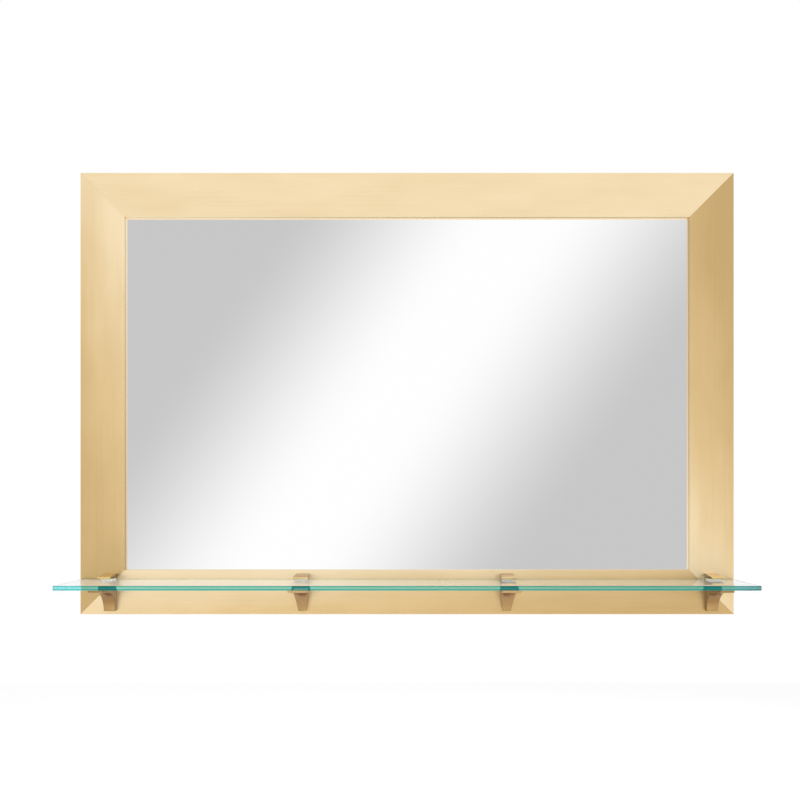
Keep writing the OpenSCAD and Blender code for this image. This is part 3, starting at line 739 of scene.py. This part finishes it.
def foldedRailTree():
    # draws a flat section out along X, cuts both ends to the mitre and lays the grain along it
    tree, start = newTree("foldedRail", {
        "Length": 0.9, "Mitre gap": 0.0001, "Steps": 24, "Tone at start": 1.0, "Tone at end": 0.0,
        # the shelf, lip and bend inputs add painted light to the tone
        "Sag": 0.0, "Inner lift": 0.2, "Shelf lift": 0.0, "Lip lift": 0.5, "Bend lift": 0.6,
        "Bend": 0.00025, "Grain start": 0.0, "Width": 0.06,
    })
    overShelf, innerPart = (0.60, 0.74), 0.9  # shares of the width
    intoBend, intoLip = (0.1, 0.6), (1.1, 1.6)  # depths in bends
    brightest = 1.2
    stride = math2(tree, "DIVIDE", start["Length"], start["Steps"])
    line = addNode(tree, "GeometryNodeMeshLine", {
        "Count": plus(tree, start["Steps"], 1.0),
        "Start Location": (0, 0, 0), "Offset": combine(tree, stride, 0.0, 0.0),
    })
    path = addNode(tree, "GeometryNodeMeshToCurve", {0: line.outputs[0]}).outputs[0]
    path = addNode(tree, "GeometryNodeSetCurveNormal", {0: path}, mode="Z_UP").outputs[0]
    section = addNode(tree, "GeometryNodeMeshToCurve", {0: start["Geometry"]}).outputs[0]
    tube = addNode(tree, "GeometryNodeCurveToMesh", {"Curve": path, "Profile Curve": section, "Fill Caps": True})
    x, y, z = axesOf(tree, addNode(tree, "GeometryNodeInputPosition").outputs[0])
    along = math2(tree, "SUBTRACT", math2(tree, "DIVIDE", x, start["Length"]), 0.5)
    inset = plus(tree, z, times(tree, start["Mitre gap"], math.sqrt(0.5)))
    reach = math2(tree, "SUBTRACT", start["Length"], times(tree, 2.0, inset))
    mitred = addNode(tree, "GeometryNodeSetPosition", {
        "Geometry": tube.outputs[0], "Position": combine(tree, times(tree, along, reach), y, z),
    }).outputs[0]
    girth = plus(tree, math2(tree, "SUBTRACT", z, y), start["Grain start"])
    mapped = addNode(tree, "GeometryNodeStoreNamedAttribute", {
        "Geometry": mitred, "Name": "grain", "Value": combine(tree, x, girth, 0.0),
    }, data_type="FLOAT2", domain="CORNER").outputs[0]
    # the tone runs from end to end, sags between them and is lifted towards the mirror; above the shelf, in the
    # inner bend and in the lip it is lifted further by painted light, which makes up for the shade and dark
    # reflections there
    share = plus(tree, math2(tree, "DIVIDE", x, reach), 0.5)
    tone = mixFloat(tree, share, start["Tone at start"], start["Tone at end"])
    arch = times(tree, times(tree, share, math2(tree, "SUBTRACT", 1.0, share)), 4.0)
    tone = math2(tree, "SUBTRACT", tone, times(tree, arch, start["Sag"]))
    height = math2(tree, "DIVIDE", z, start["Width"])
    lift = times(tree, start["Inner lift"], math2(tree, "SUBTRACT", height, 0.5))
    # painted light over the strip above the shelf, where the shelf's shade falls
    nearShelf = mapRange(tree, height, *overShelf, blend="SMOOTHSTEP")
    shelfPaintedLight = times(tree, start["Shelf lift"], nearShelf)
    tone = math2(tree, "MINIMUM", plus(tree, tone, plus(tree, lift, shelfPaintedLight)), brightest)
    inner = math2(tree, "GREATER_THAN", z, times(tree, start["Width"], innerPart))
    # painted light in the inner bend and lip, against the dark reflections there
    turned = math2(tree, "DIVIDE", y, start["Bend"])
    inBend = times(tree, inner, mapRange(tree, turned, *intoBend))
    inLip = times(tree, inner, mapRange(tree, turned, *intoLip))
    foldPaintedLight = mixFloat(tree, inLip, start["Bend lift"], start["Lip lift"])
    tone = plus(tree, tone, times(tree, foldPaintedLight, inBend))
    toned = addNode(tree, "GeometryNodeStoreNamedAttribute", {
        "Geometry": mapped, "Name": "tone", "Value": tone,
    }, data_type="FLOAT", domain="POINT").outputs[0]
    finishTree(tree, toned, start["Material"])
    return tree


def placedTree():
    # one part on every point, each with a loose turn about Y
    tree, start = newTree("placedParts", {"Part": None, "Loose turn": 6.28, "Seed": 1})
    part = addNode(tree, "GeometryNodeObjectInfo", {"Object": start["Part"]}).outputs["Geometry"]
    turn = addNode(tree, "FunctionNodeRandomValue", {
        3: start["Loose turn"], "Seed": start["Seed"],
    }, data_type="FLOAT").outputs[1]
    placed = addNode(tree, "GeometryNodeInstanceOnPoints", {
        "Points": start["Geometry"], "Instance": part, "Rotation": combine(tree, 0.0, turn, 0.0),
    }).outputs[0]
    finishTree(tree, placed, start["Material"])
    return tree


def threadTree():
    # the ridge of a thread, wound about Z from the origin
    tree, start = newTree("woundThread", {
        "Core radius": 0.001, "Tip radius": 0.001, "Crest": 0.0004, "Length": 0.01, "Pitch": 0.0012,
    })
    spiral = addNode(tree, "GeometryNodeCurveSpiral", {
        "Resolution": 16, "Rotations": math2(tree, "DIVIDE", start["Length"], start["Pitch"]),
        "Start Radius": start["Core radius"], "End Radius": start["Tip radius"], "Height": start["Length"],
    }).outputs[0]
    crest = addNode(tree, "GeometryNodeCurvePrimitiveCircle", {
        "Resolution": 4, "Radius": start["Crest"],
    }).outputs[0]
    ridge = addNode(tree, "GeometryNodeCurveToMesh", {"Curve": spiral, "Profile Curve": crest, "Fill Caps": True})
    finishTree(tree, ridge.outputs[0], start["Material"])
    return tree


foldedRail, placedParts, woundThread = foldedRailTree(), placedTree(), threadTree()
print("Geometry Nodes trees made")


# folded gold skins

skin = {
    "width": frameHigh.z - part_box("top_rail_skin")[0].z, "depth": backY - frontY, "lip": 0.008,
    "sheet": 0.0008, "bend": 0.00025, "bendSteps": 6, "lipStart": 1.8,  # in bends
    # the bend's lift is light painted into the inner bend
    "mitreGap": 0.0001, "steps": 24, "bendLift": 0.7,
    "grainStep": 0.2,  # between one rail's grain and the next
}


def skinSection():
    # closed section at X = 0: Y is depth from the front, Z distance from the outer edge
    def bendAt(centre, radius, fromTurn, toTurn):
        steps = skin["bendSteps"]
        turns = [fromTurn + (toTurn - fromTurn) * k / steps for k in range(steps + 1)]
        return [(centre[0] - radius * math.cos(t), centre[1] + radius * math.sin(t)) for t in turns]

    bend, sheet, width = skin["bend"], skin["sheet"], skin["width"]
    quarter = math.pi / 2
    near, far = (bend, bend), (bend, width - bend)
    outline = [(skin["depth"], 0.0)] + bendAt(near, bend, -quarter, 0) + bendAt(far, bend, 0, quarter)
    outline += [(skin["lipStart"] * bend, width), (skin["lip"], width), (skin["lip"], width - sheet)]
    outline += [(sheet, width - sheet), (sheet, sheet), (skin["depth"], sheet)]
    return outline


wide, tall = frameHigh.x - frameLow.x, frameHigh.z - frameLow.z
railSides = {
    # matrix that puts the rail on its side of the frame, and its length
    "top_rail": (Matrix.Translation((0, frontY, frameHigh.z)) @ Matrix.Diagonal((1, 1, -1, 1)), wide),
    "bottom_rail": (Matrix.Translation((0, frontY, frameLow.z)), wide),
    "left_stile": (
        Matrix.Translation((frameLow.x, frontY, frameMidZ)) @ Matrix.Rotation(math.pi / 2, 4, "Y"), tall),
    "right_stile": (
        Matrix.Translation((frameHigh.x, frontY, frameMidZ)) @ Matrix.Rotation(-math.pi / 2, 4, "Y"), tall),
}
toneInputs = ["Tone at start", "Tone at end", "Sag", "Inner lift", "Shelf lift", "Lip lift"]
# the last two of each are painted light: over the strip above the shelf, and in the lip
railTones = {
    "top_rail": (0.95, 1.00, 0.0, 0.0, 0.0, 0.1),
    "bottom_rail": (0.88, -0.14, 0.04, 0.20, 0.56, 0.0),
    "left_stile": (1.0, 0.11, 0.08, 0.30, 0.0, 0.1),
    "right_stile": (0.98, 0.04, 0.19, 0.32, 0.0, 0.1),
}
section = skinSection()
count = len(section)
for index, (rail, (place, length)) in enumerate(railSides.items()):
    ring = bpy.data.meshes.new(rail + "Section")
    ring.from_pydata([(-d, -w, 0) for d, w in section], [(k, (k + 1) % count) for k in range(count)], [])
    mesh = grown(camel(rail + "_skin"), ring, foldedRail, {
        "Length": length, "Mitre gap": skin["mitreGap"], "Steps": skin["steps"],
        "Bend lift": skin["bendLift"], "Bend": skin["bend"], "Grain start": skin["grainStep"] * index,
        "Width": skin["width"], "Material": finish["gold"], **dict(zip(toneInputs, railTones[rail])),
    })
    mesh.transform(place)
    addPiece(rail + "_skin", outward(mesh), "gold", smooth=30)
print("skins made")


# cores, corner plates, keyhole plates and board

for rail in railSides:
    coreMaterials = nodes[rail + "_core"].data.materials
    coreMaterials.clear()
    coreMaterials.append(finish["core"])

plate = {"rounding": 0.00025, "shortest": 0.0008}
board = {"rounding": 0.0003}
plates = [node for node in nodes if node.startswith("corner_plate_") and node != "corner_plate_screws"]
for node in plates + ["left_keyhole_plate", "right_keyhole_plate"]:
    addPiece(node, softened(node, plate["rounding"], plate["shortest"]), "zinc")
addPiece("backing_board", softened("backing_board", board["rounding"]), "board")
print("plates and board made")


# mirror and shelf

def slab(name, rings, slots):
    # rings of equal length from one closed end to the other, slots are one per end and one per band
    points = [p for ring in rings for p in ring]
    size = len(rings[0])
    faces = [list(range(size))[::-1]]
    for k in range(len(rings) - 1):
        for i in range(size):
            j = (i + 1) % size
            faces.append([k * size + i, k * size + j, (k + 1) * size + j, (k + 1) * size + i])
    faces.append([(len(rings) - 1) * size + i for i in range(size)])
    kinds = [slots[0]] + [slots[1 + k] for k in range(len(rings) - 1) for _ in range(size)] + [slots[-1]]
    return outward(meshFrom(name, points, faces, kinds))


mirror = {"arris": 0.0005}
mirrorLow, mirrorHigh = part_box("mirror_glass")


def mirrorRing(inset, y):
    left, right = mirrorLow.x + inset, mirrorHigh.x - inset
    bottom, top = mirrorLow.z + inset, mirrorHigh.z - inset
    return [(left, y, bottom), (right, y, bottom), (right, y, top), (left, y, top)]


mirrorMesh = slab("mirrorGlass", [
    mirrorRing(mirror["arris"], mirrorLow.y), mirrorRing(0, mirrorLow.y + mirror["arris"]),
    mirrorRing(0, mirrorHigh.y - mirror["arris"]), mirrorRing(mirror["arris"], mirrorHigh.y),
], [0, 1, 1, 1, 2])
addPiece("mirror_glass", mirrorMesh, "silver", "mirrorEdge", "mirrorPaint", smooth=20)

shelf = {"arris": 0.0007, "easing": 0.3, "corner": 0.003, "cornerSteps": 10}  # easing is a share of the arris


def shelfRing(inset, z):
    radius = shelf["corner"] - inset
    ring = [(shelfHigh.x - inset, shelfHigh.y - inset, z), (shelfLow.x + inset, shelfHigh.y - inset, z)]
    centreY = shelfLow.y + shelf["corner"]
    for centreX, fromTurn in ((shelfLow.x + shelf["corner"], 180), (shelfHigh.x - shelf["corner"], 270)):
        for k in range(shelf["cornerSteps"] + 1):
            turn = math.radians(fromTurn + 90 * k / shelf["cornerSteps"])
            ring.append((centreX + radius * math.cos(turn), centreY + radius * math.sin(turn), z))
    return ring


arris, eased = shelf["arris"], shelf["arris"] * shelf["easing"]
shelfMesh = slab("glassShelf", [
    shelfRing(arris, shelfLow.z), shelfRing(eased, shelfLow.z + eased), shelfRing(0, shelfLow.z + arris),
    shelfRing(0, shelfHigh.z - arris), shelfRing(eased, shelfHigh.z - eased), shelfRing(arris, shelfHigh.z),
], [0, 1, 1, 1, 1, 1, 0])
addPiece("glass_shelf", shelfMesh, "shelf", "shelfEdge", body="shelf", smooth=18)
print("mirror and shelf made")


# brackets

rounding = {"bracket_body": 0.00025, "lower_jaw": 0.0005, "upper_pad": 0.0004, "lower_pad": 0.0003}
for bracket in brackets:
    for kind, width in rounding.items():
        node = bracket + "_" + kind
        addPiece(node, softened(node, width, segments=3), "pads" if kind.endswith("pad") else "brass",
                 body=bracket + "_jaw" if kind.startswith("lower") else "root", smooth=40)
print("brackets made")


# screws, washers, clips and bumpers

def prism(points, fromZ, toZ, shrink=1.0):
    # a closed prism that narrows to shrink at its far end
    size = len(points)
    ring = [(x, y, fromZ) for x, y in points] + [(x * shrink, y * shrink, toZ) for x, y in points]
    faces = [list(range(size))[::-1], list(range(size, 2 * size))]
    faces += [[i, (i + 1) % size, size + (i + 1) % size, size + i] for i in range(size)]
    return outward(meshFrom("prism", ring, faces))


def crossPoints(reach, width):
    w = width / 2
    return [(w, w), (reach, w), (reach, -w), (w, -w), (w, -reach), (-w, -reach),
            (-w, -w), (-reach, -w), (-reach, w), (-w, w), (-w, reach), (w, reach)][::-1]


def thread(core, tip, crest, length, pitch, top):
    # hangs down from top along -Z
    seed = meshFrom("threadSeed", [(0, 0, 0)], [])
    mesh = grown("thread", seed, woundThread, {
        "Core radius": core, "Tip radius": tip, "Crest": crest, "Length": length, "Pitch": pitch,
        "Material": finish["zinc"],
    })
    mesh.transform(Matrix.Translation((0, 0, top - length)))
    return mesh


alongY = Matrix.Rotation(-math.pi / 2, 4, "X")       # Z becomes Y
towardsFront = Matrix.Rotation(math.pi / 2, 4, "X")  # Z becomes -Y
overcut = 0.0005  # a cutter starts this far outside the head

wood = {
    "head": 0.0032, "rim": 0.00015, "rimDeep": 0.0001, "sunk": 0.0015,
    "radius": 0.0016, "neck": 0.002, "neckEnd": 0.0024, "root": 0.0012, "length": 0.014,
    "point": 0.003, "tip": 0.0003, "tipRound": 0.0002,
    "cross": 0.0019, "slot": 0.0008, "crossDeep": 0.0012, "crossNarrow": 0.55,
    "threadTip": 0.35, "crest": 0.0004, "pitch": 0.0013, "threadFrom": 0.003, "threadless": 0.004,
}


def woodScrew(direction):
    # countersunk, its face at the origin
    w = wood
    body = lathe("woodScrew", [
        (0, 0), (w["head"] - w["rim"], 0), (w["head"], -w["rimDeep"]), (w["radius"], -w["sunk"]),
        (w["radius"], -w["sunk"] - w["neck"]), (w["root"], -w["sunk"] - w["neckEnd"]),
        (w["root"], -w["length"] + w["point"]), (w["tip"], -w["length"] + w["tipRound"]), (0, -w["length"]),
    ])
    cross = prism(crossPoints(w["cross"], w["slot"]), overcut, -w["crossDeep"], w["crossNarrow"])
    ridge = thread(w["root"] * w["threadTip"], w["root"], w["crest"],
                   w["length"] - w["sunk"] - w["threadless"], w["pitch"], -w["sunk"] - w["threadFrom"])
    mesh = joined("woodScrew", [cutFrom(body, cross), ridge])
    mesh.transform(direction)
    return mesh


pan = {
    "rim": 0.35,  # share of the head's height below its crown
    "root": 0.85, "core": 0.75, "tip": 0.5,  # shares of the shank's radius
    "tipLength": 0.0012, "slot": 0.0008, "crossDeep": 0.0011, "crossNarrow": 0.6,
    "crest": 0.00025, "pitch": 0.0007, "threadFrom": 0.0008, "threadless": 0.002,
}


def panScrew(name, head, height, shank, length, cross):
    # round head, its seat at the origin
    crown = [(head * math.cos(t), height * (pan["rim"] + (1 - pan["rim"]) * math.sin(t)))
             for t in (math.radians(a) for a in range(0, 91, 10))]
    crown[-1] = (0, height)
    root, core = shank * pan["root"], shank * pan["core"]
    body = lathe(name, [
        (0, -length), (shank * pan["tip"], -length), (root, -length + pan["tipLength"]), (root, 0), (head, 0),
    ] + crown)
    hollow = prism(crossPoints(cross, pan["slot"]),
                   height + overcut, height - pan["crossDeep"], pan["crossNarrow"])
    ridge = thread(core, core, pan["crest"], length - pan["threadless"], pan["pitch"], -pan["threadFrom"])
    mesh = joined(name, [cutFrom(body, hollow), ridge])
    mesh.transform(alongY)
    return mesh


def middles(node, reach):
    # middles of the separate solids in a CAD group, as seen from the back
    spots = []
    for vertex in nodes[node].data.vertices:
        spot = Vector((vertex.co.x, 0, vertex.co.z))
        for known in spots:
            if (known["first"] - spot).length < reach:
                known["low"] = Vector(map(min, known["low"], spot))
                known["high"] = Vector(map(max, known["high"], spot))
                break
        else:
            spots.append({"low": spot.copy(), "high": spot.copy(), "first": spot})
    return [(s["low"] + s["high"]) / 2 for s in spots]


looseTurn = 6.28  # any turn, as screws end up


def group(node, part, reach, y, seed, finishName="zinc"):
    # one copy of part for each solid of a CAD group, whose solids are less than reach across
    name = camel(node)
    spots = meshFrom(name + "Spots", [(middle.x, y, middle.z) for middle in middles(node, reach)], [])
    holder = bpy.data.objects.new(name + "Part", part)
    scene.collection.objects.link(holder)
    mesh = grown(name, spots, placedParts, {
        "Part": holder, "Loose turn": looseTurn, "Seed": seed, "Material": finish[finishName],
    })
    bpy.data.objects.remove(holder)
    addPiece(node, mesh, finishName)


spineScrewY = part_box("bracket_spine_screws")[0].y
group("corner_plate_screws", woodScrew(alongY), reach=0.008, y=backY, seed=3)
group("keyhole_plate_screws", woodScrew(alongY), reach=0.008, y=backY, seed=5)
group("bracket_spine_screws", woodScrew(towardsFront), reach=0.008, y=spineScrewY, seed=7)

clipScrew = {"head": 0.003, "height": 0.0016, "shank": 0.0016, "length": 0.014, "cross": 0.0018}
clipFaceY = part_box("retainer_clips")[1].y
group("retainer_clip_screws", panScrew("clipScrew", **clipScrew), reach=0.008, y=clipFaceY, seed=11)

washer = {"outer": 0.0045, "inner": 0.0022, "edge": 0.00015}
washerLow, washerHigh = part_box("bracket_fixing_washers")
thick = washerHigh.y - washerLow.y
inner, outer, edge = washer["inner"], washer["outer"], washer["edge"]
ringMesh = lathe("washer", [
    (inner, 0), (outer - edge, 0), (outer, edge), (outer, thick - edge), (outer - edge, thick),
    (inner, thick), (inner, 0),
])
ringMesh.transform(alongY)
group("bracket_fixing_washers", ringMesh, reach=0.011, y=washerLow.y, seed=13)

fixingScrew = {
    "head": 0.0035, "height": 0.0026, "shank": 0.00195, "cross": 0.0022,
    "length": washerHigh.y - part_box("bracket_fixing_screws")[0].y,
}
group("bracket_fixing_screws", panScrew("fixingScrew", **fixingScrew), reach=0.009, y=washerHigh.y, seed=17)

clampScrew = {
    "head": 0.00275, "headHeight": 0.003, "rim": 0.0003, "topRim": 0.0002, "knurls": 64, "knurlDeep": 0.00009,
    "shank": 0.00145, "root": 0.86, "core": 0.8, "tip": 0.5,  # the last three are shares of the shank's radius
    "tipLength": 0.0005, "hex": 0.00145, "hexDeep": 0.0016,
    "crest": 0.00022, "pitch": 0.0005, "threadless": 0.0015, "threadEnd": 0.0004,
}
for bracket in brackets:
    node = bracket + "_clamp_screw"
    low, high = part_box(node)
    length = high.z - low.z
    c, sixth = clampScrew, math.radians(60)
    body = lathe("clampScrew", [
        (0, 0), (c["head"] - c["rim"], 0), (c["head"], c["rim"]), (c["head"], c["headHeight"] - c["topRim"]),
        (c["head"] - c["topRim"], c["headHeight"]), (c["shank"] * c["root"], c["headHeight"]),
        (c["shank"] * c["root"], length - c["tipLength"]), (c["shank"] * c["tip"], length), (0, length),
    ], c["knurls"], c["knurlDeep"])
    hexagon = [(c["hex"] * math.cos(sixth * k), c["hex"] * math.sin(sixth * k)) for k in range(6)]
    core = c["shank"] * c["core"]
    ridge = thread(core, core, c["crest"], length - c["headHeight"] - c["threadless"], c["pitch"],
                   length - c["threadEnd"])
    mesh = joined(node, [cutFrom(body, prism(hexagon, -overcut, c["hexDeep"])), ridge])
    mesh.transform(Matrix.Translation(((low.x + high.x) / 2, (low.y + high.y) / 2, low.z)))
    addPiece(node, mesh, "zinc", body=bracket + "_screw")

bumper = {
    "radius": 0.00635, "edge": (0.0002, 0.0003),
    # shares of the radius and of the height
    "dome": [(1, 0.45), (0.95, 0.68), (0.84, 0.86), (0.68, 0.97), (0.5, 1), (0, 1)],
}
low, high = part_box("wall_bumpers")
radius, (edgeIn, edgeUp) = bumper["radius"], bumper["edge"]
dome = lathe("bumper", [(0, 0), (radius - edgeIn, 0), (radius, edgeUp)] + [
    (radius * out, (high.y - low.y) * up) for out, up in bumper["dome"]])
dome.transform(alongY)
group("wall_bumpers", dome, reach=0.014, y=low.y, seed=19, finishName="bumpers")

clip = {"rounding": 0.0002, "shortest": 0.0008}
addPiece("retainer_clips", softened("retainer_clips", clip["rounding"], clip["shortest"]), "zinc")
print("small parts made")
